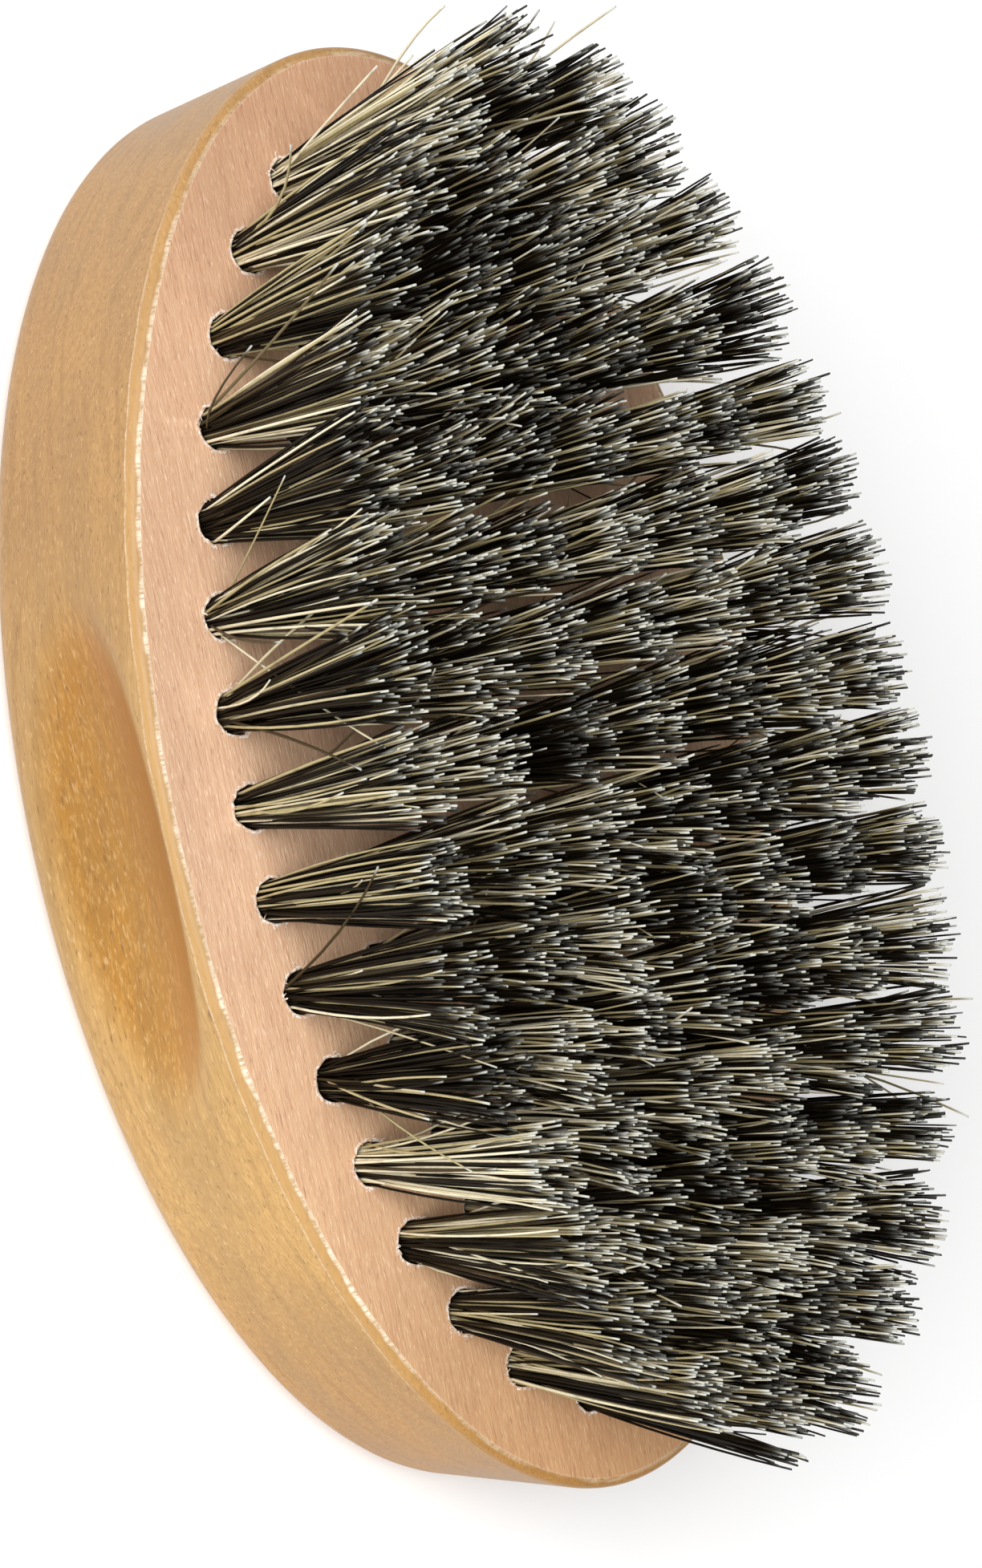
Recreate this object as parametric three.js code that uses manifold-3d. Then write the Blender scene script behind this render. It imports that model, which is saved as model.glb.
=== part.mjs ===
// A beard brush: an oval palm block turned from one piece of wood, with a finger groove in each long side,
// and tufts of boar bristle set in blind holes in its face.
// Millimetres. X runs along the block, Y across it and Z up along the bristles. The origin is the middle of
// the flat back, which the brush lies on.
import * as THREE from "three";
import { mergeVertices } from "three/addons/utils/BufferGeometryUtils.js";
import Module from "manifold-3d";

const wasm = await Module();
wasm.setup();

// Driving dimensions of the block
const blockLength = 115;
const blockWidth = 61;
const blockThickness = 22;
const backRound = 4; // radius of the edge round the back
const faceRound = 0.8; // radius of the edge round the bristle face

// Driving dimensions of the finger grooves
const grooveLength = 40;
const grooveHeight = 16.5;
const grooveDepth = 2.6;
const grooveBelowFace = 0.9; // land left between the face and the top of a groove

// Driving dimensions of the bristles
const outerTufts = 33; // tufts in the outer ring, counted from one that stands at the -X end
const ringInset = 7.8; // from the block's outline to the centres of the outer ring
const rowBow = 0.035; // how far the middle of a row leans to the middle of the block, as a share of its X
const holeDiameter = 3.3;
const holeDepth = 9;
const holeClearance = 0.3; // between a tuft and the wall and floor of its hole
const bristleHeight = 22; // free length above the face
const rowClearance = 0.4; // between the tips of neighbouring rows
const tipOverlap = 0.4; // how far the spread tips of one row run into each other

// Fineness of the faceted surfaces
const outlineSteps = 72;
const roundSteps = 4;
const tuftSides = 8;
const grooveSteps = 32;

const halfLength = blockLength / 2;
const halfWidth = blockWidth / 2;
const holeRadius = holeDiameter / 2;
const tuftRadius = holeRadius - holeClearance;
const tuftFoot = blockThickness - holeDepth + holeClearance;
const tipHeight = blockThickness + bristleHeight;

const woodFinish = new THREE.MeshStandardMaterial({
  color: 0xd0a070,
  roughness: 0.45,
  metalness: 0,
});
const bristleFinish = new THREE.MeshStandardMaterial({
  color: 0x4a463c,
  roughness: 0.6,
  metalness: 0,
});

// The closed geometry as a solid that can be joined and cut.
function solidFrom(geometry) {
  const bare = geometry.clone();
  bare.deleteAttribute("normal");
  bare.deleteAttribute("uv");
  const merged = mergeVertices(bare);
  return new wasm.Manifold(
    new wasm.Mesh({
      numProp: 3,
      vertProperties: merged.getAttribute("position").array,
      triVerts: new Uint32Array(merged.index.array),
    }),
  );
}

function meshFrom(solid, name, material) {
  const { vertProperties, triVerts } = solid.getMesh();
  const geometry = new THREE.BufferGeometry();
  geometry.setAttribute("position", new THREE.BufferAttribute(vertProperties, 3));
  geometry.setIndex(new THREE.BufferAttribute(triVerts, 1));
  const mesh = new THREE.Mesh(geometry, material);
  mesh.name = name;
  return mesh;
}

// Moves every vertex of a geometry to place(x, y, z), which returns the new [x, y, z].
function reshape(geometry, place) {
  const corners = geometry.getAttribute("position");
  for (let i = 0; i < corners.count; i += 1) {
    corners.setXYZ(i, ...place(corners.getX(i), corners.getY(i), corners.getZ(i)));
  }
  return geometry;
}

// A lathe turns about Y, so its solids are stood up with their axis along Z.
function turned(profile, sides) {
  return new THREE.LatheGeometry(profile, sides).rotateX(Math.PI / 2);
}

// A quarter round of the block's edge, from one [radius, height] to the next, about a centre.
function quarterRound(centreRadius, centreHeight, radius, startAngle) {
  const points = [];
  for (let i = 0; i <= roundSteps; i += 1) {
    const angle = startAngle + (i / roundSteps) * (Math.PI / 2);
    points.push(
      new THREE.Vector2(
        centreRadius + radius * Math.cos(angle),
        centreHeight + radius * Math.sin(angle),
      ),
    );
  }
  return points;
}

// The plain oval block. It is turned as a round one of the block's width and then drawn out along X, so its
// rounded edges keep the same radius all the way round.
function ovalBlank() {
  const profile = [
    new THREE.Vector2(0, 0),
    ...quarterRound(halfWidth - backRound, backRound, backRound, -Math.PI / 2),
    ...quarterRound(halfWidth - faceRound, blockThickness - faceRound, faceRound, 0),
    new THREE.Vector2(0, blockThickness),
  ];
  const drawnOut = halfLength - halfWidth;
  return reshape(turned(profile, outlineSteps), (x, y, z) => {
    const radius = Math.hypot(x, y);
    const onAxis = radius < faceRound / 2;
    return [onAxis ? 0 : (x / radius) * (radius + drawnOut), onAxis ? 0 : y, z];
  });
}

// How far the block's side has curved in from its widest line at a distance x from the middle.
function sideInset(x) {
  return halfWidth * (1 - Math.sqrt(1 - (x / halfLength) ** 2));
}

// The cutter for one finger groove: a long rounded scoop that follows the curve of the side.
function grooveCutter(side) {
  const scoopRadius = (grooveHeight ** 2 / 4 + grooveDepth ** 2) / (2 * grooveDepth);
  const endShare = Math.sqrt(1 - (1 - grooveDepth / scoopRadius) ** 2);
  const scoopReach = grooveLength / 2 / endShare;
  const centreY = halfWidth + scoopRadius - grooveDepth;
  const centreZ = blockThickness - grooveBelowFace - grooveHeight / 2;
  const scoop = new THREE.SphereGeometry(1, grooveSteps, grooveSteps / 2)
    .scale(scoopReach, scoopRadius, scoopRadius)
    .translate(0, side * centreY, centreZ);
  return reshape(scoop, (x, y, z) => [x, y - side * sideInset(x), z]);
}

// Where the tufts stand, row by row from -X to +X. The rows run across the face, from one tuft of the outer
// ring to the one opposite. The first row is the tuft at the end with its two neighbours in the ring.
function tuftRows() {
  const ring = new THREE.EllipseCurve(
    0,
    0,
    halfLength - ringInset,
    halfWidth - ringInset,
    Math.PI,
    3 * Math.PI,
  );
  const pitch = ring.getLength() / outerTufts;
  const places = ring.getSpacedPoints(outerTufts);
  const rows = [[places[0], places[1], places[outerTufts - 1]]];
  for (let i = 2; i <= (outerTufts - 1) / 2; i += 1) {
    const { x, y } = places[i];
    const gaps = Math.round((2 * Math.abs(y)) / pitch);
    const row = [];
    for (let j = 0; j <= gaps; j += 1) {
      const share = 1 - (2 * j) / gaps; // 1 at the near end of the row, -1 at the far end
      row.push(new THREE.Vector2(x * (1 - rowBow * (1 - share ** 2)), y * share));
    }
    rows.push(row);
  }
  return rows;
}

// Half the room along X that the tips of a row have before they meet the next row.
function tipReachAlong(row, rows) {
  const others = rows.filter((other) => other !== row).flat();
  const gaps = row.flatMap((tuft) => others.map((other) => Math.abs(tuft.x - other.x)));
  return (Math.min(...gaps) - rowClearance) / 2;
}

// Half the width across the brush that the tips of a row need to run into each other.
function tipReachAcross(row) {
  const spacing = Math.min(...row.slice(1).map((tuft) => tuft.distanceTo(row[0])));
  return (spacing / 2 + tipOverlap) / Math.cos(Math.PI / tuftSides);
}

// One tuft: a round bundle in its hole that spreads from the face up to its tips.
function tuftSolid(place, reachAlong, reachAcross) {
  const profile = [
    new THREE.Vector2(0, tuftFoot),
    new THREE.Vector2(tuftRadius, tuftFoot),
    new THREE.Vector2(tuftRadius, blockThickness),
    new THREE.Vector2(tuftRadius, tipHeight),
    new THREE.Vector2(0, tipHeight),
  ];
  const bundle = turned(profile, tuftSides).rotateZ(Math.PI / tuftSides);
  const spread = reshape(bundle, (x, y, z) => {
    const share = Math.max(0, (z - blockThickness) / bristleHeight);
    return [
      place.x + x * (1 + share * (reachAlong / tuftRadius - 1)),
      place.y + y * (1 + share * (reachAcross / tuftRadius - 1)),
      z,
    ];
  });
  return solidFrom(spread);
}

function blockMesh(rows) {
  let block = solidFrom(ovalBlank());
  for (const side of [-1, 1]) {
    block = block.subtract(solidFrom(grooveCutter(side)));
  }
  for (const place of rows.flat()) {
    const drill = new THREE.CylinderGeometry(holeRadius, holeRadius, 2 * holeDepth, tuftSides)
      .rotateX(Math.PI / 2)
      .rotateZ(Math.PI / tuftSides)
      .translate(place.x, place.y, blockThickness);
    block = block.subtract(solidFrom(drill));
  }
  return meshFrom(block, "block", woodFinish);
}

function tuftRowMesh(row, rows, number) {
  const reachAlong = tipReachAlong(row, rows);
  const reachAcross = tipReachAcross(row);
  const joined = row
    .map((place) => tuftSolid(place, reachAlong, reachAcross))
    .reduce((left, right) => left.add(right));
  return meshFrom(joined, `tuft_row_${String(number).padStart(2, "0")}`, bristleFinish);
}

const brush = new THREE.Group();
const rows = tuftRows();
brush.add(blockMesh(rows));
rows.forEach((row, i) => brush.add(tuftRowMesh(row, rows, i + 1)));

export default brush;
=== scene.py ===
"""The looks of an oval beard brush: a lacquered palm block and its tufts of boar bristle.

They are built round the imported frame. Everything is in metres, in the frame of the CAD model: X along the
block, Y across it and Z up along the bristles.
"""
import math

import bmesh
import bpy
import numpy as np
from bpy.props import FloatProperty, FloatVectorProperty, IntProperty, PointerProperty
from mathutils import Matrix, Vector
from mathutils.geometry import delaunay_2d_cdt


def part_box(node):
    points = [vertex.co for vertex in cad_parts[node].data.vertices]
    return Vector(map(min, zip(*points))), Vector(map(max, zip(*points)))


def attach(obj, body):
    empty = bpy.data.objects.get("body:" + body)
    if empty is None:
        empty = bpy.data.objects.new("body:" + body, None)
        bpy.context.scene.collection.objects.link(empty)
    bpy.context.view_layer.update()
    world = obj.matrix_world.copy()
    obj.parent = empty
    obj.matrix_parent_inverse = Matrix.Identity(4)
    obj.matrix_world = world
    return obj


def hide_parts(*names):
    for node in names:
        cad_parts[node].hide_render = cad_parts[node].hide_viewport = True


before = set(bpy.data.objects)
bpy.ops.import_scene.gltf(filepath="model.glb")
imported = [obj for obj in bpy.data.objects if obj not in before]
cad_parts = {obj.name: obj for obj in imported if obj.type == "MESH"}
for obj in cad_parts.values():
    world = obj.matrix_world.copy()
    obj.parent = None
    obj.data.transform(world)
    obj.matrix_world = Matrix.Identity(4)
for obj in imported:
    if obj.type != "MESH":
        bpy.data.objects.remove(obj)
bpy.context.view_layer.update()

bl_info = {
    "name": "Beard Brush",
    "version": (1, 0, 0),
    "blender": (4, 5, 0),
    "location": "3D View > Sidebar > Brush",
    "description": "Builds the wooden block, the bristle tufts and their anchors of an oval beard brush",
    "category": "Add Mesh",
}

MM = 0.001
ROWS = sorted(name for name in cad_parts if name.startswith("tuft_row_"))
BLOCK_LOW, BLOCK_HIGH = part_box("block")
HALF_LENGTH = (BLOCK_HIGH.x - BLOCK_LOW.x) / 2
HALF_WIDTH = (BLOCK_HIGH.y - BLOCK_LOW.y) / 2
FACE_Z = BLOCK_HIGH.z
TIP_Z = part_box(ROWS[0])[1].z
FOOT_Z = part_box(ROWS[0])[0].z


def metres(name, description, default):
    """A length that a user may change."""
    return FloatProperty(name=name, description=description, default=default, min=0.0, unit="LENGTH",
                         subtype="DISTANCE", precision=5)


def share(name, description, default, high=1.0):
    """A plain share that a user may change."""
    return FloatProperty(name=name, description=description, default=default, min=0.0, max=high)


def colour(name, description, default):
    """A colour that a user may change."""
    return FloatVectorProperty(name=name, description=description, default=default, size=3, min=0.0, max=1.0,
                               subtype="COLOR")


class BlockSettings(bpy.types.PropertyGroup):
    """Sizes and colours of the wooden block"""

    back_round: metres("Back edge radius", "Radius of the edge round the flat back", 4 * MM)
    face_round: metres("Face edge radius", "Radius of the eased edge round the bristle face", 0.8 * MM)
    groove_length: metres("Groove length", "Length of a finger groove along the side", 40 * MM)
    groove_height: metres("Groove height", "Height of a finger groove", 16.5 * MM)
    groove_depth: metres("Groove depth", "Depth of a finger groove at its middle", 2.6 * MM)
    groove_below_face: metres("Land above groove", "Wood left between the face and a groove", 0.9 * MM)
    hole_radius: metres("Hole radius", "Radius of the hole that holds a tuft", 1.65 * MM)
    hole_depth: metres("Hole depth", "Depth of the hole that holds a tuft", 9 * MM)
    lacquer_colour: colour("Lacquered wood", "Colour of the wood under the lacquer", (0.480, 0.262, 0.082))
    groove_colour: colour("Groove", "Colour of the cut grain in a finger groove", (0.405, 0.166, 0.013))
    bare_colour: colour("Bare wood", "Colour of the sanded bristle face", (0.685, 0.440, 0.278))
    edge_colour: colour("Worn edge", "Colour of the pale lines round the face", (0.92, 0.80, 0.62))


class BristleSettings(bpy.types.PropertyGroup):
    """Sizes and colours of the bristles"""

    per_tuft: IntProperty(name="Bristles in a tuft", description="How many bristles fill one hole",
                          default=116, min=20, max=300)
    thickness: metres("Bristle thickness", "Thickness of a bristle at its root", 0.24 * MM)
    spread: metres("Spread", "How far the outside of a tuft opens from the face to its tips", 2.45 * MM)
    across: share("Spread across", "Share of the spread that a tuft has across the block", 0.55, high=2.0)
    near_open: share("Wider near side", "How much wider the tufts spread toward the -Y side", 0.22)
    near_pale: share("Paler near side", "How much paler the bristles are toward the -Y side", 0.08)
    splay: FloatVectorProperty(name="Splay", description="How far the tufts lean out along and across the "
                               "block, as shares of their distance from its middle", default=(0.02, 0.04),
                               size=2, min=0.0, max=0.3)
    uneven: metres("Uneven tips", "Scatter of the length of the bristles", 0.20 * MM)
    dark_colour: colour("Dark bristle", "Colour of the darkest bristles", (0.008, 0.0055, 0.003))
    brown_colour: colour("Brown bristle", "Colour of the olive-brown bristles", (0.058, 0.040, 0.018))
    straw_colour: colour("Straw bristle", "Colour of the straw bristles", (0.46, 0.385, 0.205))
    cream_colour: colour("Cream bristle", "Colour of the palest bristles", (0.84, 0.76, 0.55))
    tip_colour: colour("Cut tip", "Colour of the split and cut ends", (0.55, 0.56, 0.51))


class AnchorSettings(bpy.types.PropertyGroup):
    """Sizes and colour of the flat wire anchors"""

    length: metres("Anchor length", "Length of an anchor, which bites into its hole's wall", 3.8 * MM)
    height: metres("Anchor height", "Height of the flat wire", 1.5 * MM)
    thickness: metres("Anchor thickness", "Thickness of the flat wire", 0.35 * MM)
    wire_colour: colour("Anchor wire", "Colour of the anchor wire", (0.55, 0.54, 0.50))


class StageSettings(bpy.types.PropertyGroup):
    """The floor and the light"""

    floor_colour: colour("Floor", "Colour of the floor", (0.98, 0.98, 0.98))
    key_power: FloatProperty(name="Key light", description="Power of the main soft light", default=6.9,
                             min=0.0, unit="POWER")
    sky_strength: FloatProperty(name="Surround", description="Strength of the even light all round",
                                default=0.36, min=0.0)


# ---------------------------------------------------------------------------------------------------------
# Meshes

OUTLINE_STEPS = 512
HOLE_STEPS = 28
RIM_TEAR = 0.11 * MM  # how ragged the rim of a hole is
RIM_LIFT = 0.08 * MM  # how far the rim stands above the face
DRILL_POINT = 0.5 * MM  # depth of the cone that a drill's point leaves under a hole
HOLE_RUN = [0.0, 0.5, 1.0, 2.0, 3.0]  # the number of each ring of a hole: 0 on the face, 3 at the hole's foot
RIM_RUN = 0.62  # the same number for the torn rim and its fibres
ON_FACE = 2.0  # the edge value of the flat face
RIM_FIBRES = 26  # for each hole
WELD_DISTANCE = 0.001 * MM


def new_piece(name, points, faces, materials, replaces=()):
    """A mesh that rides on the brush. faces is a list of index arrays, each with faces of one size."""
    mesh = bpy.data.meshes.new(name)
    sizes = np.concatenate([np.full(len(f), f.shape[1], np.int32) for f in faces])
    corners = np.concatenate([f.ravel() for f in faces]).astype(np.int32)
    starts = np.concatenate([[0], np.cumsum(sizes)[:-1]]).astype(np.int32)
    mesh.vertices.add(len(points))
    mesh.vertices.foreach_set("co", np.asarray(points, np.float32).ravel())
    mesh.loops.add(len(corners))
    mesh.loops.foreach_set("vertex_index", corners)
    mesh.polygons.add(len(sizes))
    mesh.polygons.foreach_set("loop_start", starts)
    mesh.polygons.foreach_set("use_smooth", np.ones(len(sizes), bool))
    mesh.update(calc_edges=True)
    mesh.validate()
    for material in materials:
        mesh.materials.append(material)
    piece = bpy.data.objects.new(name, mesh)
    bpy.context.scene.collection.objects.link(piece)
    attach(piece, "root")
    if replaces:
        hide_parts(*replaces)
    return piece


def tubes(paths, radii, sides):
    """Closed upright tubes along the paths: their points, side quads and end caps."""
    count, levels = paths.shape[:2]
    angle = np.arange(sides) * 2 * np.pi / sides
    round_about = np.stack([np.cos(angle), np.sin(angle), 0 * angle], axis=1)
    points = paths[:, :, None] + radii[:, :, None, None] * round_about[None, None]
    ring = np.arange(count * levels * sides).reshape(count, levels, sides)
    after = np.roll(ring, -1, axis=2)
    quads = np.stack([ring[:, :-1], after[:, :-1], after[:, 1:], ring[:, 1:]], axis=-1).reshape(-1, 4)
    caps = np.concatenate([ring[:, 0, ::-1], ring[:, -1]])
    return points.reshape(-1, 3), quads, caps


def paint_points(mesh, name, values):
    """Stores one number at each vertex for a material to read."""
    attribute = mesh.attributes.new(name, "FLOAT", "POINT")
    attribute.data.foreach_set("value", np.asarray(values, np.float32))


def tuft_feet(node):
    """The centres of the tufts of one CAD row, found from the feet of its bundles."""
    foot_height, foot_width = 0.05 * MM, 3 * MM
    corners = np.array([v.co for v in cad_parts[node].data.vertices])
    feet = corners[corners[:, 2] < FOOT_Z + foot_height][:, :2]
    if not len(feet):
        raise RuntimeError(f"{node} has no tuft feet")
    centres = []
    while len(feet):
        near = np.linalg.norm(feet - feet[0], axis=1) < foot_width
        centres.append((feet[near].min(0) + feet[near].max(0)) / 2)
        feet = feet[~near]
    return np.array(sorted(centres, key=lambda c: c[1]))


def oval(steps, inset):
    """Points of the block's outline, moved in by inset."""
    angle = np.linspace(0, 2 * np.pi, steps, endpoint=False)
    return np.stack([(HALF_LENGTH - inset) * np.cos(angle), (HALF_WIDTH - inset) * np.sin(angle)], axis=1)


def groove_depth_at(x, z, block):
    """How far a finger groove reaches in from the block's outline. It is negative beside the groove."""
    scoop = (block.groove_height ** 2 / 4 + block.groove_depth ** 2) / (2 * block.groove_depth)
    end_share = math.sqrt(1 - (1 - block.groove_depth / scoop) ** 2)
    reach = block.groove_length / 2 / end_share
    middle = FACE_Z - block.groove_below_face - block.groove_height / 2
    inside = np.clip(1 - (x / reach) ** 2 - ((z - middle) / scoop) ** 2, 0, 1)
    return block.groove_depth - scoop * (1 - np.sqrt(inside))


def side_profile(block):
    """Insets, heights and edge values down the block's side, from the face to the flat back.

    The edge value runs from 2 on the face through 1 and 0 at the ends of the face's rounded edge to -1 below.
    """
    face_steps, side_steps, back_steps = 9, 50, 10
    support = 0.5 * MM  # width of the flat ring that keeps each rounded edge crisp
    turn = np.linspace(0, np.pi / 2, face_steps)
    face_inset = block.face_round * (1 - np.sin(turn))
    face_height = FACE_Z - block.face_round * (1 - np.cos(turn))
    side_height = np.linspace(FACE_Z - block.face_round, block.back_round, side_steps)[1:-1]
    turn = np.linspace(0, np.pi / 2, back_steps)
    back_inset = block.back_round * (1 - np.cos(turn))
    back_height = block.back_round * (1 - np.sin(turn))
    inset = np.concatenate([[block.face_round + support], face_inset, 0 * side_height, back_inset,
                            [block.back_round + support]])
    height = np.concatenate([[FACE_Z], face_height, side_height, back_height, [0]])
    below = np.clip((height - FACE_Z + block.face_round) / block.face_round, -1, 0)
    edge = np.concatenate([[ON_FACE], np.linspace(1, 0, face_steps), below[face_steps + 1:]])
    return inset, height, edge


def skirt_mesh(block, steps):
    """The block's side with its rounded edges and grooves, as rings of points and the quads between them."""
    inset, height, edge = side_profile(block)
    soft = 0.30 * MM  # how far the groove's rim is eased
    middle = FACE_Z - block.groove_below_face - block.groove_height / 2
    lip_start = middle - 0.1 * block.groove_height
    lip_height = 0.5 * block.groove_height
    rings = []
    sinks = []
    lip_shades = []
    for d, z in zip(inset, height):
        ring = oval(steps, d)
        outline = HALF_WIDTH * np.sqrt(1 - (ring[:, 0] / HALF_LENGTH) ** 2)
        cut = groove_depth_at(ring[:, 0], z, block) - (outline - np.abs(ring[:, 1]))
        sink = (cut + np.hypot(cut, soft)) / 2 * (cut > -6 * soft)
        ring[:, 1] -= np.sign(ring[:, 1]) * sink
        rings.append(np.column_stack([ring, np.full(steps, z)]))
        sinks.append(sink / block.groove_depth)
        # painted shade: marks the groove's upper wall under its lip, which faces down, for darkening
        below_lip = np.clip((z - lip_start) / lip_height, 0, 1)
        lip_shades.append(below_lip * np.clip(3 * sink / block.groove_depth, 0, 1))
    count = len(rings)
    index = np.arange(count * steps).reshape(count, steps)
    turn = np.roll(index, -1, axis=1)
    quads = np.stack([index[:-1], index[1:], turn[1:], turn[:-1]], axis=-1).reshape(-1, 4)
    marks = {"groove_depth": np.concatenate(sinks), "groove_lip": np.concatenate(lip_shades),
             "face_edge": np.repeat(edge, steps)}
    return np.concatenate(rings), quads, marks


def hole_rings(centre, block, rng, steps):
    """The rings of one hole, from the sound wood round it over a torn and raised rim down its wall."""
    angle = np.linspace(0, 2 * np.pi, steps, endpoint=False)
    circle = np.stack([np.cos(angle), np.sin(angle)], axis=1)
    torn = RIM_TEAR * rng.standard_normal(steps).clip(-1, 2.5)
    raised = RIM_LIFT * rng.random(steps)
    even = np.zeros(steps)
    levels = [
        (block.hole_radius + 0.42 * MM, even),  # sound wood
        (block.hole_radius + 0.20 * MM + torn, raised),  # torn rim
        (block.hole_radius + 0.05 * MM + 0.4 * torn, raised - 0.06 * MM),  # inner side of the rim
        (block.hole_radius, even - 0.35 * MM),  # top of the clean wall
        (block.hole_radius, even - block.hole_depth),  # foot of the wall
    ]
    return [np.column_stack([centre + circle * np.reshape(r, (-1, 1)), FACE_Z + z]) for r, z in levels]


def hole_mesh(rings, block):
    """The points, wall quads and floor triangles of one hole, whose floor is the cone of a drill's point."""
    steps = len(rings[0])
    index = np.arange(steps)
    after = np.roll(index, -1)
    quads = []
    for upper in range(0, (len(rings) - 1) * steps, steps):
        lower = upper + steps
        quads.append(np.stack([upper + after, lower + after, lower + index, upper + index], axis=1))
    triangles = np.stack([lower + index, lower + after, np.full(steps, lower + steps)], axis=1)
    drill_point = np.append(rings[-1].mean(axis=0)[:2], FACE_Z - block.hole_depth - DRILL_POINT)
    return np.concatenate([*rings, drill_point[None]]), np.concatenate(quads), triangles


def flat_with_holes(outline, loops):
    """Points and triangles that fill the outline round the given convex hole loops."""
    flat = [outline, *loops]
    points = np.concatenate(flat)
    loop_of_point = np.repeat(np.arange(len(flat)), [len(loop) for loop in flat])
    edges = []
    start = 0
    for loop in flat:
        index = np.arange(start, start + len(loop))
        edges.extend(zip(index.tolist(), np.roll(index, -1).tolist()))
        start += len(loop)
    fill_inside, nearness = 1, 1e-9
    corners, _, triangles, sources, _, _ = delaunay_2d_cdt([Vector(p) for p in points.tolist()], edges, [],
                                                          fill_inside, nearness)
    if not triangles:
        raise RuntimeError("the bristle face could not be filled round its holes")
    loop_of_corner = np.array([loop_of_point[source[0]] for source in sources])
    triangles = np.array(triangles)
    owners = loop_of_corner[triangles]
    inside_hole = (owners[:, 0] > 0) & (owners == owners[:, :1]).all(axis=1)
    return np.array([tuple(corner) for corner in corners]), triangles[~inside_hole]


def weld(piece, distance):
    """Joins the points of the separately made areas where they meet."""
    welded = bmesh.new()
    welded.from_mesh(piece.data)
    bmesh.ops.remove_doubles(welded, verts=welded.verts, dist=distance)
    bmesh.ops.recalc_face_normals(welded, faces=welded.faces)
    welded.to_mesh(piece.data)
    welded.free()
    piece.data.update()
    piece.data.set_sharp_from_angle(angle=math.radians(32))


# ---------------------------------------------------------------------------------------------------------
# Materials

# The figure of the wood under the lacquer, and its tints from the low X end to the high X end, which are
# partly its own tone and partly painted light
LACQUERED_FIBRE = (0.30, 0.145, 0.035)
LACQUERED_RING = (0.27, 0.125, 0.030)
LACQUERED_PORE = (0.20, 0.08, 0.02)
LACQUERED_GLINT = (0.76, 0.50, 0.24)
# painted highlights on flecks of the grooves' cut grain
GROOVE_RIPPLE_HIGHLIGHT = (0.66, 0.35, 0.10)
# painted shade on the upper wall of each groove, under its lip
GROOVE_LIP_SHADE = (0.38, 0.125, 0.002)
LACQUERED_TINTS_AND_LIGHT = [(0.84, 0.87, 0.97), (0.80, 0.80, 0.80), (0.80, 0.87, 0.92), (1.05, 1.13, 1.12),
                   (0.97, 0.86, 0.56)]

# The same for the bare wood of the bristle face and its holes
BARE_FIBRE = (0.52, 0.27, 0.16)
BARE_RING = (0.45, 0.23, 0.13)
BARE_PORE = (0.34, 0.16, 0.10)
BARE_FUZZ = (0.96, 0.76, 0.58)
TORN_RIM = (0.95, 0.88, 0.80)
# painted shade on the walls inside the holes
HOLE_WALL_SHADE = (0.16, 0.08, 0.04)
BARE_TINTS_AND_LIGHT = [(0.98, 0.96, 0.93), (1.00, 0.98, 0.95), (1.00, 1.00, 1.00), (1.02, 0.99, 0.90),
              (1.02, 0.97, 0.76)]

END_SHADE = (0.42, 0.24, 0.13)


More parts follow.
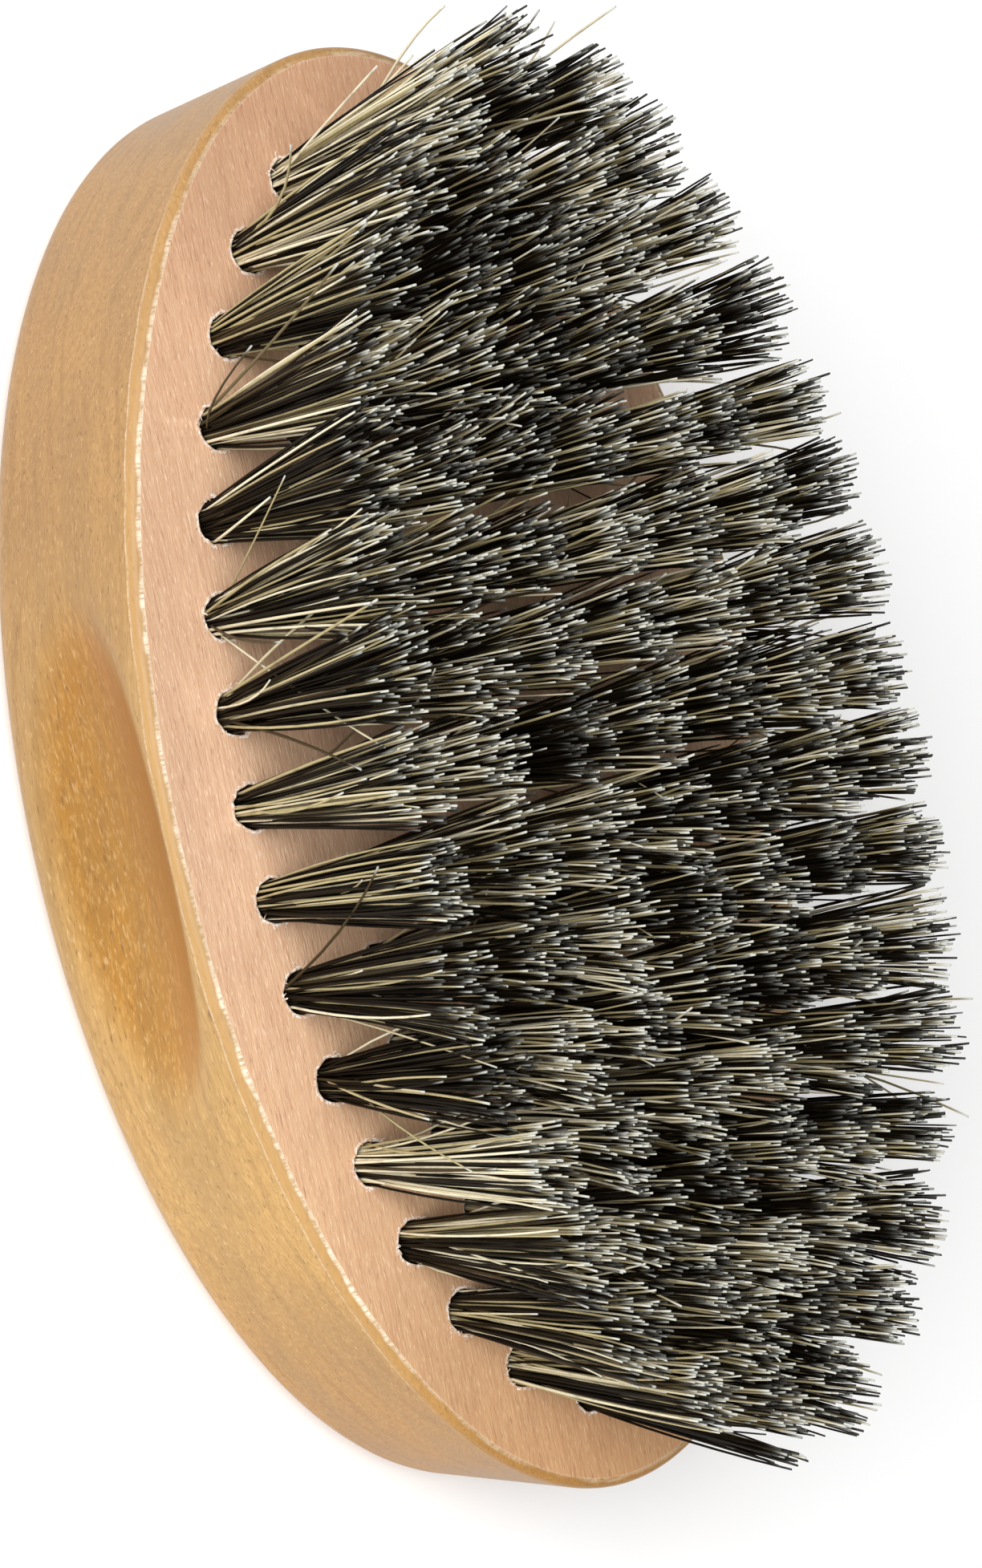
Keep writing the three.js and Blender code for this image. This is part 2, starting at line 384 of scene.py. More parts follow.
class Nodes:
    """A short way to write a material's nodes: each call adds one node and links or sets its inputs."""

    def __init__(self, name):
        self.material = bpy.data.materials.new(name)
        self.material.use_nodes = True
        self.tree = self.material.node_tree
        self.surface = self.tree.nodes["Principled BSDF"]

    def put(self, socket, value):
        if isinstance(value, bpy.types.NodeSocket):
            self.tree.links.new(value, socket)
        elif hasattr(socket.default_value, "__len__") and hasattr(value, "__len__"):
            room = len(socket.default_value)
            socket.default_value = (list(value) + [1.0])[:room]
        else:
            socket.default_value = value

    def add(self, kind, inputs=(), output=0, **settings):
        made = self.tree.nodes.new(kind)
        for key, value in settings.items():
            setattr(made, key, value)
        for key, value in dict(inputs).items():
            self.put(made.inputs[key], value)
        return made.outputs if output is None else made.outputs[output]

    def number(self, name):
        return self.add("ShaderNodeAttribute", output="Fac", attribute_name=name)

    def maths(self, operation, a, b=0.0, c=0.0, clamp=False):
        return self.add("ShaderNodeMath", {0: a, 1: b, 2: c}, operation=operation, use_clamp=clamp)

    def mix(self, factor, a, b, blend="MIX"):
        return self.add("ShaderNodeMix", {"Factor": factor, 6: a, 7: b}, output=2, data_type="RGBA",
                        blend_type=blend)

    def span(self, value, low, high, to_low=0.0, to_high=1.0):
        """value between low and high, eased and moved to the range from to_low to to_high."""
        return self.add("ShaderNodeMapRange", {"Value": value, "From Min": low, "From Max": high,
                                               "To Min": to_low, "To Max": to_high},
                        interpolation_type="SMOOTHSTEP")

    def stretched(self, sizes, turn=(0, 0, 0)):
        """The place on the object, in units of sizes, so that a pattern comes out that long in X, Y and Z."""
        place = self.add("ShaderNodeTexCoord", output="Object")
        return self.add("ShaderNodeMapping", {"Vector": place, "Scale": [1 / s for s in sizes],
                                              "Rotation": turn})

    def axes(self, turn=(0, 0, 0)):
        """The place on the object in metres, as separate X, Y and Z."""
        place = self.stretched((1, 1, 1), turn=turn)
        return self.add("ShaderNodeSeparateXYZ", {"Vector": place}, output=None)

    def away(self, value, middle):
        """How far value is from middle, whichever side it is on."""
        return self.maths("ABSOLUTE", self.maths("SUBTRACT", value, middle))

    def noise(self, vector, detail=2.0, rough=0.5, distortion=0.0):
        return self.add("ShaderNodeTexNoise", {"Vector": vector, "Scale": 1.0, "Detail": detail,
                                               "Roughness": rough, "Distortion": distortion})

    def ramp(self, factor, stops):
        """The colour at factor between stops, which are pairs of a position and a colour, the first at 0."""
        made = self.tree.nodes.new("ShaderNodeValToRGB")
        first, last = made.color_ramp.elements
        first.color = (*stops[0][1], 1)
        last.position, last.color = stops[-1][0], (*stops[-1][1], 1)
        for position, shade in stops[1:-1]:
            made.color_ramp.elements.new(position).color = (*shade, 1)
        self.put(made.inputs["Fac"], factor)
        return made.outputs["Color"]

    def bump(self, height, strength, distance):
        return self.add("ShaderNodeBump", {"Height": height, "Strength": strength, "Distance": distance})

    def finish(self, **inputs):
        for key, value in inputs.items():
            self.put(self.surface.inputs[key.replace("_", " ")], value)
        return self.material


def grain(nodes, tilt):
    """The figure of the wood as three patterns from 0 to 1: growth rings, fibres and pores, all along X."""
    pith_depth, ring_pitch, drift_height = 70 * MM, 2.1 * MM, 16 * MM
    drift = nodes.noise(nodes.stretched((55 * MM, 16 * MM, 16 * MM), turn=tilt), detail=2.0)
    place = nodes.axes(turn=tilt)
    rise = nodes.maths("ADD", place["Z"], nodes.maths("MULTIPLY_ADD", drift, drift_height, pith_depth))
    radius = nodes.maths("SQRT", nodes.maths("MULTIPLY_ADD", place["Y"], place["Y"],
                                             nodes.maths("MULTIPLY", rise, rise)))
    wave = nodes.maths("SINE", nodes.maths("MULTIPLY", radius, 2 * math.pi / ring_pitch))
    patches = nodes.noise(nodes.stretched((18 * MM, 3 * MM, 3 * MM), turn=tilt), detail=2.0)
    rings = nodes.maths("MULTIPLY", nodes.span(wave, 0.0, 1.0), nodes.span(patches, 0.35, 0.65))
    fibres = nodes.noise(nodes.stretched((4 * MM, 0.26 * MM, 0.26 * MM), turn=tilt), detail=3.0, rough=0.6)
    flecks = nodes.noise(nodes.stretched((1.1 * MM, 0.17 * MM, 0.17 * MM), turn=tilt), detail=1.0)
    pores = nodes.span(flecks, 0.62, 0.74)
    return rings, fibres, pores


def darker_ends(nodes, base, amount):
    """Darkens the wood a little toward its two ends."""
    from_middle = nodes.maths("ABSOLUTE", nodes.axes()["X"])
    toward_end = nodes.span(from_middle, 0.45 * HALF_LENGTH, HALF_LENGTH, 0.0, amount)
    return nodes.mix(toward_end, base, END_SHADE, "MULTIPLY")


def tint_and_painted_light(nodes, base, tints_and_light):
    """Tints the wood along its length, with the tints spread evenly from the low X end to the high X end.
    They are partly the wood's own tone and partly painted light, lighter on the lacquered sides toward the
    high X end.
    """
    along = nodes.maths("MULTIPLY_ADD", nodes.axes()["X"], 0.5 / HALF_LENGTH, 0.5)
    stops = [(i / (len(tints_and_light) - 1), tint) for i, tint in enumerate(tints_and_light)]
    return nodes.mix(1.0, base, nodes.ramp(along, stops), "MULTIPLY")


def worn_edge(nodes, base, block):
    """The face's rounded edge: a tan band between a faint cream line and a clearer pale one, both broken."""
    edge = nodes.number("face_edge")
    ticks = nodes.noise(nodes.stretched((0.25 * MM, 1.2 * MM, 1.2 * MM)), detail=3.0, rough=0.7)
    wander = nodes.noise(nodes.stretched((4 * MM, 4 * MM, 4 * MM)), detail=3.0)
    edge = nodes.maths("ADD", edge, nodes.maths("MULTIPLY", nodes.maths("SUBTRACT", wander, 0.5), 0.6))
    from_middle = nodes.maths("ABSOLUTE", nodes.axes()["X"])
    kept = nodes.span(from_middle, 0.60 * HALF_LENGTH, 0.92 * HALF_LENGTH, 1.0, 0.30)
    band = nodes.maths("MULTIPLY", nodes.span(edge, -0.15, 0.15), nodes.span(edge, 0.85, 1.1, 0.6, 0.0))
    band = nodes.maths("MULTIPLY", band, kept)
    tan = [0.86 * a + 0.06 * b for a, b in zip(block.lacquer_colour, block.edge_colour)]
    base = nodes.mix(band, base, tan)
    outer = nodes.span(nodes.away(edge, -0.02), 0.02, 0.16, 0.40, 0.0)
    inner = nodes.span(nodes.away(edge, 1.0), 0.08, 0.30, 1.0, 0.0)
    broken = nodes.maths("MULTIPLY", nodes.span(ticks, 0.34, 0.60, 0.25, 1.0),
                         nodes.span(wander, 0.3, 0.6, 0.4, 1.0))
    broken = nodes.maths("MULTIPLY", broken, kept)
    lines = nodes.maths("MULTIPLY", nodes.maths("MAXIMUM", outer, inner), broken)
    return nodes.mix(lines, base, block.edge_colour)


def lacquered_wood(block):
    """Honey-coloured wood under a thin satin lacquer, amber in the grooves, with a pale worn edge. It has
    painted shade on the upper wall of each groove under its lip, painted highlights on flecks of the grooves'
    cut grain, and painted light that lightens the sides toward the high X end.
    """
    nodes = Nodes("lacquered_wood")
    rings, fibres, pores = grain(nodes, (0.02, 0.03, 0.0))
    broad = nodes.noise(nodes.stretched((35 * MM, 8 * MM, 6 * MM)), detail=3.0)
    base = nodes.mix(nodes.span(broad, 0.3, 0.7), [c * 0.86 for c in block.lacquer_colour],
                     [c * 1.14 for c in block.lacquer_colour])
    sink = nodes.number("groove_depth")
    base = nodes.mix(nodes.span(sink, 0.0, 0.5), base, block.groove_colour)
    base = nodes.mix(nodes.span(fibres, 0.35, 0.65, 0.0, 0.42), base, LACQUERED_FIBRE)
    base = nodes.mix(nodes.maths("MULTIPLY", rings, 0.30), base, LACQUERED_RING)
    base = nodes.mix(nodes.maths("MULTIPLY", pores, 0.70), base, LACQUERED_PORE)
    glints = nodes.noise(nodes.stretched((0.9 * MM, 0.2 * MM, 0.2 * MM), turn=(0.3, 0.0, 0.0)), detail=1.0)
    base = nodes.mix(nodes.span(glints, 0.60, 0.76, 0.0, 0.40), base, LACQUERED_GLINT)
    # painted highlights: lighter flecks where light catches the cut grain in the grooves
    ripple = nodes.noise(nodes.stretched((1.1 * MM, 0.5 * MM, 0.32 * MM)), detail=3.0, rough=0.65,
                         distortion=0.4)
    lit = nodes.maths("MULTIPLY", nodes.span(ripple, 0.48, 0.70, 0.0, 0.45), nodes.span(sink, 0.01, 0.15))
    base = nodes.mix(lit, base, GROOVE_RIPPLE_HIGHLIGHT)
    # painted shade darkens the upper wall of each groove under its lip
    lip_shade = nodes.number("groove_lip")
    base = nodes.mix(nodes.span(lip_shade, 0.0, 0.9, 0.0, 0.72), base, GROOVE_LIP_SHADE)
    base = darker_ends(nodes, base, 0.14)
    base = tint_and_painted_light(nodes, base, LACQUERED_TINTS_AND_LIGHT)
    base = worn_edge(nodes, base, block)
    height = nodes.maths("SUBTRACT", fibres, nodes.maths("MULTIPLY", pores, 0.6))
    rough = nodes.span(broad, 0.2, 0.8, 0.40, 0.52)
    return nodes.finish(Base_Color=base, Roughness=rough, Normal=nodes.bump(height, 0.22, 0.06 * MM),
                        Specular_IOR_Level=0.32, Coat_Weight=0.12, Coat_Roughness=0.3)


def bare_wood(block):
    """Sanded wood with no lacquer: pink-beige, with raised fibres, fine flecks and pale torn hole rims.
    Painted shade darkens the walls inside the holes.
    """
    nodes = Nodes("bare_wood")
    rings, fibres, pores = grain(nodes, (0.0, 0.0, -0.14))
    broad = nodes.noise(nodes.stretched((30 * MM, 12 * MM, 12 * MM)), detail=3.0)
    base = nodes.mix(nodes.span(broad, 0.3, 0.7), [c * 0.90 for c in block.bare_colour],
                     [min(1, c * 1.06) for c in block.bare_colour])
    base = nodes.mix(nodes.span(fibres, 0.35, 0.68, 0.0, 0.42), base, BARE_FIBRE)
    base = nodes.mix(nodes.maths("MULTIPLY", rings, 0.12), base, BARE_RING)
    base = nodes.mix(nodes.maths("MULTIPLY", pores, 0.45), base, BARE_PORE)
    fuzz = nodes.noise(nodes.stretched((0.9 * MM, 0.13 * MM, 0.5 * MM), turn=(0, 0, 0.25)), detail=2.0)
    base = nodes.mix(nodes.span(fuzz, 0.56, 0.74, 0.0, 0.55), base, BARE_FUZZ)
    base = darker_ends(nodes, base, 0.36)
    base = tint_and_painted_light(nodes, base, BARE_TINTS_AND_LIGHT)
    base = worn_edge(nodes, base, block)
    run = nodes.number("hole_run")
    shreds = nodes.noise(nodes.stretched((0.3 * MM, 0.3 * MM, 0.3 * MM)), detail=3.0, rough=0.7)
    rim = nodes.span(nodes.away(run, RIM_RUN), 0.10, 0.50, 1.0, 0.0)
    rim = nodes.maths("MULTIPLY", rim, nodes.span(shreds, 0.42, 0.60, 0.05, 1.0))
    base = nodes.mix(rim, base, TORN_RIM)
    # painted shade: the walls inside the holes are darkened
    base = nodes.mix(nodes.span(run, 1.0, 1.5), base, HOLE_WALL_SHADE)
    height = nodes.maths("ADD", fibres, nodes.maths("MULTIPLY", fuzz, 0.8))
    return nodes.finish(Base_Color=base, Roughness=0.78, Normal=nodes.bump(height, 0.60, 0.10 * MM))


def bristle_hair(bristles):
    """Boar bristle: each one its own tone from near black to cream, with a paler split tip."""
    nodes = Nodes("boar_bristle")
    tone = nodes.number("bristle_tone")
    run = nodes.number("bristle_run")
    streak = nodes.number("bristle_streak")
    shade = nodes.ramp(tone, [(0.0, bristles.dark_colour), (0.59, bristles.dark_colour),
                              (0.62, bristles.brown_colour), (0.67, bristles.brown_colour),
                              (0.71, bristles.straw_colour), (0.82, bristles.straw_colour),
                              (0.92, bristles.cream_colour)])
    place = nodes.add("ShaderNodeCombineXYZ", {"X": nodes.maths("MULTIPLY", run, 9.0),
                                               "Y": nodes.maths("MULTIPLY", streak, 400.0), "Z": 0.0})
    mottle = nodes.noise(place, detail=3.0, rough=0.6)
    pale = nodes.span(tone, 0.59, 0.71)
    stain = nodes.maths("MULTIPLY", nodes.span(mottle, 0.46, 0.80, 0.0, 0.45), pale)
    base = nodes.mix(stain, shade, bristles.brown_colour)
    tip = nodes.maths("MULTIPLY", nodes.span(run, 0.92, 1.0), nodes.span(tone, 0.3, 0.78, 0.06, 0.90))
    base = nodes.mix(tip, base, bristles.tip_colour)
    return nodes.finish(Base_Color=base, Roughness=0.45, Specular_IOR_Level=0.07)


def wire_metal(anchors):
    """Bare drawn wire with fine scratches along it."""
    nodes = Nodes("anchor_wire")
    scratch = nodes.noise(nodes.stretched((2 * MM, 0.05 * MM, 0.05 * MM)), detail=2.0)
    base = nodes.mix(nodes.span(scratch, 0.3, 0.7), [c * 0.7 for c in anchors.wire_colour],
                     anchors.wire_colour)
    return nodes.finish(Base_Color=base, Metallic=1.0, Roughness=nodes.span(scratch, 0.2, 0.8, 0.3, 0.5))


def matt_floor(stage):
    """Even pale paper for the floor."""
    nodes = Nodes("floor_paper")
    cloud = nodes.noise(nodes.stretched((1.0, 1.0, 1.0)), detail=2.0)
    base = nodes.mix(cloud, [c * 0.99 for c in stage.floor_colour], stage.floor_colour)
    return nodes.finish(Base_Color=base, Roughness=0.9, Specular_IOR_Level=0.1)


# ---------------------------------------------------------------------------------------------------------
# Pieces


class BRUSH_OT_wood_block(bpy.types.Operator):
    """Make the oval wooden block with its rounded edges, finger grooves and tuft holes"""

    bl_idname = "brush.wood_block"
    bl_label = "Wood block"

    def execute(self, context):
        block = context.scene.brush_block
        rng = np.random.default_rng(11)
        centres = np.concatenate([tuft_feet(row) for row in ROWS])
        skirt, side_quads, marks = skirt_mesh(block, OUTLINE_STEPS)
        holes = [hole_rings(centre, block, rng, HOLE_STEPS) for centre in centres]
        loops = [rings[0][:, :2] for rings in holes]
        face, face_triangles = flat_with_holes(skirt[:OUTLINE_STEPS, :2], loops)
        points = [skirt, np.column_stack([face, np.full(len(face), FACE_Z)])]
        start = len(skirt) + len(face)
        triangles = [face_triangles + len(skirt)]
        quads = [side_quads]
        hole_run = [np.zeros(start)]
        for rings in holes:
            hole_points, wall, floor = hole_mesh(rings, block)
            points.append(hole_points)
            quads.append(wall + start)
            triangles.append(floor + start)
            hole_run.append(np.append(np.repeat(HOLE_RUN, HOLE_STEPS), HOLE_RUN[-1]))
            start += len(hole_points)
        back_rim = len(skirt) - OUTLINE_STEPS + np.arange(OUTLINE_STEPS)
        triangles.append(np.stack([back_rim, np.full(OUTLINE_STEPS, start), np.roll(back_rim, -1)], axis=1))
        points.append(np.zeros((1, 3)))
        fibre_points, fibre_quads, fibre_caps = rim_fibres(centres, block, rng)
        points.append(fibre_points)
        quads.append(fibre_quads + start + 1)
        hole_run.append(np.append(0.0, np.full(len(fibre_points), RIM_RUN)))
        points = np.concatenate(points)
        quads = np.concatenate(quads)
        triangles = np.concatenate(triangles)
        piece = new_piece("wood_block", points, [quads, triangles, fibre_caps + start + 1],
                          [lacquered_wood(block), bare_wood(block)], replaces=["block"])
        for name, elsewhere in (("groove_depth", 0.0), ("groove_lip", 0.0), ("face_edge", ON_FACE)):
            rest = np.full(len(points) - len(skirt), elsewhere)
            paint_points(piece.data, name, np.append(marks[name], rest))
        paint_points(piece.data, "hole_run", np.concatenate(hole_run))
        bare = np.ones(len(piece.data.polygons), np.int32)
        bare[OUTLINE_STEPS:len(side_quads)] = 0
        flat_end = len(quads) + len(triangles)
        bare[flat_end - OUTLINE_STEPS:flat_end] = 0
        piece.data.polygons.foreach_set("material_index", bare)
        weld(piece, WELD_DISTANCE)
        return {"FINISHED"}


def rim_fibres(centres, block, rng):
    """Short pale wood fibres that the drill left standing round each hole."""
    levels, sides = 4, 4
    count = RIM_FIBRES * len(centres)
    angle = rng.uniform(0, 2 * np.pi, count)
    out = np.stack([np.cos(angle), np.sin(angle)], axis=1)
    along = np.linspace(0, 1, levels)
    from_axis = block.hole_radius + rng.uniform(0.12, 0.34, (count, 1)) * MM
    foot = np.repeat(centres, RIM_FIBRES, axis=0) + out * from_axis
    reach = rng.normal(0, 0.27 * MM, (count, 2)) + 0.10 * MM * out
    curl = rng.normal(0, 0.08 * MM, (count, 2))
    lift = rng.uniform(0.05, 0.35, count) * MM
    flat = foot[:, None] + reach[:, None] * along[None, :, None] + curl[:, None] * arch(along)
    height = FACE_Z - 0.05 * MM + lift[:, None] * along[None] ** 0.7
    radii = rng.uniform(0.04, 0.08, (count, 1)) * MM * (1 - 0.75 * along)[None]
    return tubes(np.concatenate([flat, height[..., None]], axis=2), radii, sides)


def arch(along):
    """The shape of a bowed hair: 0 at both ends and 1 in the middle."""
    return (4 * along * (1 - along))[None, :, None]


class BRUSH_OT_tuft_rows(bpy.types.Operator):
    """Make the bristles of every tuft, one piece for each row across the face"""

    bl_idname = "brush.tuft_rows"
    bl_label = "Bristle rows"

    def execute(self, context):
        bristles = context.scene.brush_bristles
        hole_radius = context.scene.brush_block.hole_radius
        rng = np.random.default_rng(7)
        material = bristle_hair(bristles)
        for name in ROWS:
            tufts = [bristle_paths(centre, bristles, hole_radius, rng) for centre in tuft_feet(name)]
            paths, radii, tones = (np.concatenate(part) for part in zip(*tufts))
            piece = bristle_piece(name.replace("tuft_row", "bristles"), paths, radii, tones, material, rng)
            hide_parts(name)
        return {"FINISHED"}


RUN = np.array([-0.34, 0.0, 0.12, 0.30, 0.48, 0.66, 0.82, 0.955, 1.0])  # a bristle's rings, 0 at the face
ALONG = np.clip(RUN, 0, 1)
SIDES = 5
STRAY_SHARE = 0.035
SHORT_SHARE = 0.10
LOCKS = 8  # bunches that the tips of a tuft draw together in


def bristle_ends(centre, bristles, hole_radius, rng):
    """Where the bristles of a tuft leave the face and end, from the hole's axis, and which of them stray."""
    count = bristles.per_tuft
    rank = np.arange(count)
    outward = np.sqrt((rank + 0.5) / count)[:, None]
    angle = rank * math.pi * (3 - math.sqrt(5)) + rng.uniform(0, 2 * math.pi)
    out = np.stack([np.cos(angle), np.sin(angle)], axis=1)
    roots = out * (outward * (hole_radius - 0.5 * bristles.thickness))
    roots += rng.normal(0, 0.04 * MM, (count, 2))
    near = bristles.near_open * centre[1] / HALF_WIDTH
    spread = bristles.spread * rng.uniform(0.65, 1.35) * (1 - near)
    opening = np.array([1.0, bristles.across]) * spread
    tips = roots + out * outward * opening + rng.normal(0, 0.22 * MM, (count, 2))
    locks = rng.normal(0, 1, (LOCKS, 2)) * 0.6 * (hole_radius + spread)
    nearest = locks[np.argmin(np.linalg.norm(tips[:, None] - locks[None], axis=2), axis=1)]
    tips += (nearest - tips) * rng.uniform(0.05, 0.30, (count, 1))
    tips += rng.normal(0, 0.35 * MM, 2) + centre * bristles.splay
    stray = (rng.random(count) < STRAY_SHARE)[:, None]
    tips += stray * rng.normal(0, 3.0 * MM, (count, 2))
    return roots, tips, stray


def bristle_lengths(bristles, stray, rng):
    """How long each bristle of a tuft is above the face: a few are cut short or broken."""
    count = bristles.per_tuft
    length = TIP_Z - FACE_Z + rng.normal(0, 0.2 * MM) + rng.normal(0, bristles.uneven, count)
    length -= (rng.random(count) < SHORT_SHARE) * rng.uniform(0.6 * MM, 4.5 * MM, count)
    length -= stray[:, 0] * rng.uniform(0, 6 * MM, count)
    return length


def bristle_paths(centre, bristles, hole_radius, rng):
    """The paths, thicknesses and tones of the bristles of one tuft."""
    count = bristles.per_tuft
    roots, tips, stray = bristle_ends(centre, bristles, hole_radius, rng)
    length = bristle_lengths(bristles, stray, rng)
    bow = rng.normal(0, 0.25 * MM, (count, 2)) + stray * rng.normal(0, 0.7 * MM, (count, 2))
    sideways = roots[:, None] + (tips - roots)[:, None] * ALONG[None, :, None]
    sideways += bow[:, None] * arch(ALONG)
    leaning = 0.2 * np.linalg.norm(tips - roots, axis=1)
    height = FACE_Z + np.sqrt(length ** 2 - leaning.clip(0, 0.8 * length) ** 2)[:, None] * ALONG[None]
    height[:, 0] = FOOT_Z + 0.4 * MM
    paths = np.concatenate([centre + sideways, height[..., None]], axis=2)
    thick = 0.5 * bristles.thickness * rng.uniform(0.70, 1.15, count)
    radii = thick[:, None] * (1 - 0.25 * ALONG ** 2)[None]
    pale = rng.uniform(0.6, 1, count)
    mixed = rng.random(count) + rng.normal(0, 0.10) - bristles.near_pale * centre[1] / HALF_WIDTH
    tones = np.where(stray[:, 0], pale, mixed).clip(0, 1)
    return paths, radii, tones


def bristle_piece(name, paths, radii, tones, material, rng):
    """One mesh of closed tapered tubes, one along each path."""
    count, levels = paths.shape[:2]
    points, quads, caps = tubes(paths, radii, SIDES)
    piece = new_piece(name, points, [quads, caps], [material])
    mesh = piece.data
    per_bristle = levels * SIDES
    paint_points(mesh, "bristle_tone", np.repeat(tones, per_bristle))
    paint_points(mesh, "bristle_streak", np.repeat(rng.random(count), per_bristle))
    paint_points(mesh, "bristle_run", np.tile(np.repeat(ALONG, SIDES), count))
    mesh.uv_layers.new(name="OFBake").data.foreach_set("uv", bristle_chart(count, levels).ravel())
    return piece


def bristle_chart(count, levels):
    """Unwraps every bristle into its own narrow strip, so that each keeps its tone in a painted texture."""
    columns = 8
    lines = math.ceil(count / columns)
    margin = 0.15
    along = np.linspace(0.02, 0.98, levels)
    around = np.linspace(margin, 1 - margin, SIDES + 1)
    corner_along = np.stack([along[:-1], along[:-1], along[1:], along[1:]], axis=-1)
    corner_around = np.stack([around[:-1], around[1:], around[1:], around[:-1]], axis=-1)
    strip = np.empty((levels - 1, SIDES, 4, 2))
    strip[..., 0] = corner_along[:, None]
    strip[..., 1] = corner_around[None]
    cell = np.stack([np.arange(count) % columns, np.arange(count) // columns], axis=1)
    room = np.array([columns, lines])
    strips = (cell[:, None] + strip.reshape(1, -1, 2)) / room[None, None]
    cap = np.stack([np.full(SIDES, along[0]), around[:-1]], axis=1)
    root_caps = (cell[:, None] + cap[None]) / room
    cap = np.stack([np.full(SIDES, along[-1]), around[:-1]], axis=1)
    tip_caps = (cell[:, None] + cap[None]) / room
    return np.concatenate([strips.reshape(-1, 2), root_caps.reshape(-1, 2), tip_caps.reshape(-1, 2)])


class BRUSH_OT_anchors(bpy.types.Operator):
    """Make the flat wire anchors at the bottom of the holes, one piece for each row"""

    bl_idname = "brush.anchors"
    bl_label = "Wire anchors"

    def execute(self, context):
        anchors = context.scene.brush_anchors
        material = wire_metal(anchors)
        bar, quads = anchor_bar(anchors)
        above_foot = 0.2 * MM
        for name in ROWS:
            feet = tuft_feet(name)
            middle = FOOT_Z + anchors.height / 2 + above_foot
            places = np.column_stack([feet, np.full(len(feet), middle)])
            points = (places[:, None] + bar[None]).reshape(-1, 3)
            faces = (np.arange(len(feet))[:, None, None] * len(bar) + quads[None]).reshape(-1, 4)
            piece = new_piece(name.replace("tuft_row", "anchors"), points, [faces], [material])
            piece.data.set_sharp_from_angle(angle=math.radians(30))
        return {"FINISHED"}


def anchor_bar(anchors):
    """The points and faces of one flat wire anchor with bevelled ends, round the origin."""
    bevel = 0.08 * MM
    half = np.array([anchors.length, anchors.thickness, anchors.height]) / 2
    levels = [(-half[2], bevel), (-half[2] + bevel, 0), (half[2] - bevel, 0), (half[2], bevel)]
    corners = np.array([[1, 1], [-1, 1], [-1, -1], [1, -1]])
    bar = np.concatenate([np.column_stack([corners * (half[:2] - inset), np.full(len(corners), z)])
                          for z, inset in levels])
    ring = np.arange(len(bar)).reshape(len(levels), len(corners))
    after = np.roll(ring, -1, axis=1)
    quads = np.stack([ring[:-1], after[:-1], after[1:], ring[1:]], axis=-1).reshape(-1, 4)
    return bar, np.concatenate([quads, ring[:1, ::-1], ring[-1:]])


class BRUSH_OT_stage(bpy.types.Operator):
    """Make the floor, the soft light and the camera"""

    bl_idname = "brush.stage"
    bl_label = "Stage"

    def execute(self, context):
        stage = context.scene.brush_stage
        scene = context.scene
        half = 3.0
        mesh = bpy.data.meshes.new("floor")
        mesh.from_pydata([(-half, -half, 0), (half, -half, 0), (half, half, 0), (-half, half, 0)], [],
                         [(0, 1, 2, 3)])
        mesh.materials.append(matt_floor(stage))
        floor = bpy.data.objects.new("floor", mesh)
        scene.collection.objects.link(floor)
        world = bpy.data.worlds.new("surround")
        world.use_nodes = True
        sky = world.node_tree.nodes["Background"]
        sky.inputs["Color"].default_value = (1.0, 1.0, 1.0, 1.0)
        sky.inputs["Strength"].default_value = stage.sky_strength
        scene.world = world
        aim = Vector((1.1 * MM, -0.2 * MM, FACE_Z))
        key_place = aim + Vector((-0.10, -0.42, 0.52))
        soft_light("key", stage.key_power, key_place, aim, size=0.60)
        viewpoint(scene, aim)
        scene.view_settings.view_transform = "Standard"
        return {"FINISHED"}


def soft_light(name, power, place, aim, size):
    """A square soft box that looks at aim."""
    light = bpy.data.lights.new(name, "AREA")
    light.energy = power
    light.size = size
    lamp = bpy.data.objects.new(name, light)
    turn = (aim - place).to_track_quat("-Z", "Y").to_matrix()
    lamp.matrix_world = Matrix.Translation(place) @ turn.to_4x4()
    bpy.context.scene.collection.objects.link(lamp)


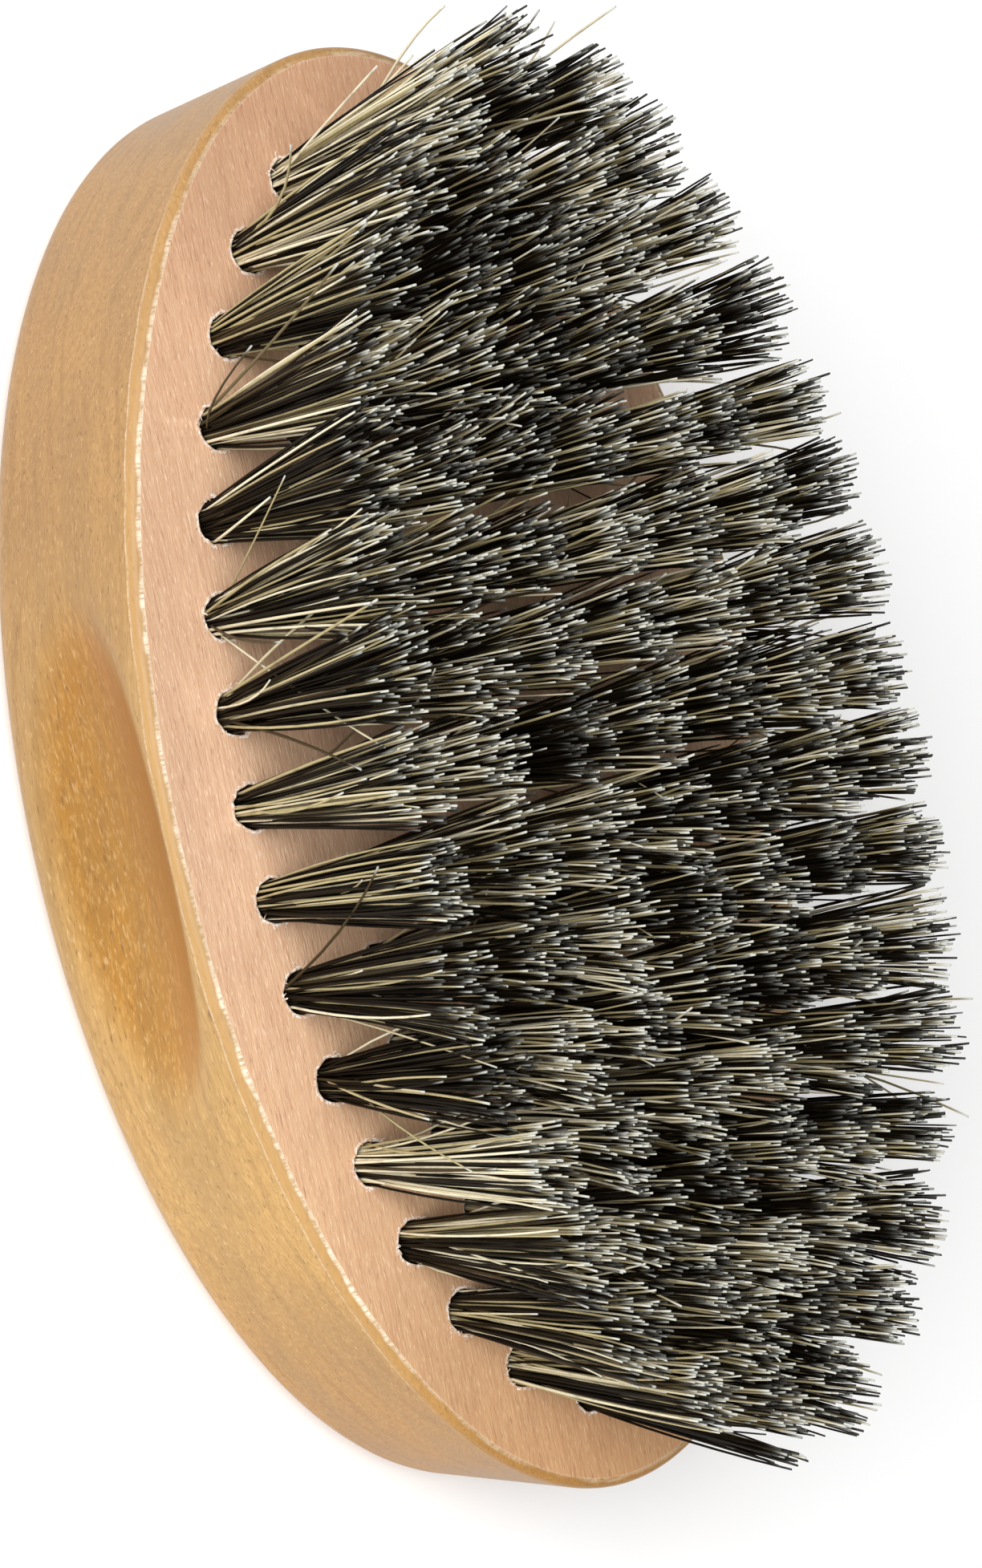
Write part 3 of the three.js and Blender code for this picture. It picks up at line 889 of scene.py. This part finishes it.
def viewpoint(scene, aim):
    """The camera looks down on the near long side, turned so that the brush stands on its end."""
    azimuth, elevation, roll = math.radians(-4.9), math.radians(51.2), math.radians(81.3)
    distance = 0.2615
    back = Vector((math.sin(azimuth) * math.cos(elevation), -math.cos(azimuth) * math.cos(elevation),
                   math.sin(elevation)))
    camera = bpy.data.cameras.new("camera")
    camera.sensor_width = 36.0
    camera.lens = 76.7
    camera.clip_start = 0.01
    eye = bpy.data.objects.new("camera", camera)
    turn = (-back).to_track_quat("-Z", "Y").to_matrix() @ Matrix.Rotation(roll, 3, "Z")
    eye.matrix_world = Matrix.Translation(aim + back * distance) @ turn.to_4x4()
    scene.collection.objects.link(eye)
    scene.camera = eye


class BRUSH_PT_panel(bpy.types.Panel):
    """Lists the sizes, the colours and the pieces of the brush"""

    bl_idname = "BRUSH_PT_panel"
    bl_label = "Beard brush"
    bl_space_type = "VIEW_3D"
    bl_region_type = "UI"
    bl_category = "Brush"

    def draw(self, context):
        for label, group, operator in STEPS:
            box = self.layout.box()
            box.label(text=label)
            settings = getattr(context.scene, group)
            for name in settings.__annotations__:
                box.prop(settings, name)
            box.operator(operator)


GROUPS = {
    "brush_block": BlockSettings,
    "brush_bristles": BristleSettings,
    "brush_anchors": AnchorSettings,
    "brush_stage": StageSettings,
}
STEPS = [
    ("Wood block", "brush_block", "brush.wood_block"),
    ("Bristles", "brush_bristles", "brush.tuft_rows"),
    ("Anchors", "brush_anchors", "brush.anchors"),
    ("Stage", "brush_stage", "brush.stage"),
]
CLASSES = [*GROUPS.values(), BRUSH_OT_wood_block, BRUSH_OT_tuft_rows, BRUSH_OT_anchors, BRUSH_OT_stage,
           BRUSH_PT_panel]


def register():
    for made in CLASSES:
        bpy.utils.register_class(made)
    for name, group in GROUPS.items():
        setattr(bpy.types.Scene, name, PointerProperty(type=group))


def unregister():
    for name in GROUPS:
        delattr(bpy.types.Scene, name)
    for made in reversed(CLASSES):
        bpy.utils.unregister_class(made)


def main():
    register()
    for _, _, operator in STEPS:
        module, name = operator.split(".")
        getattr(getattr(bpy.ops, module), name)()


if __name__ == "__main__":
    main()
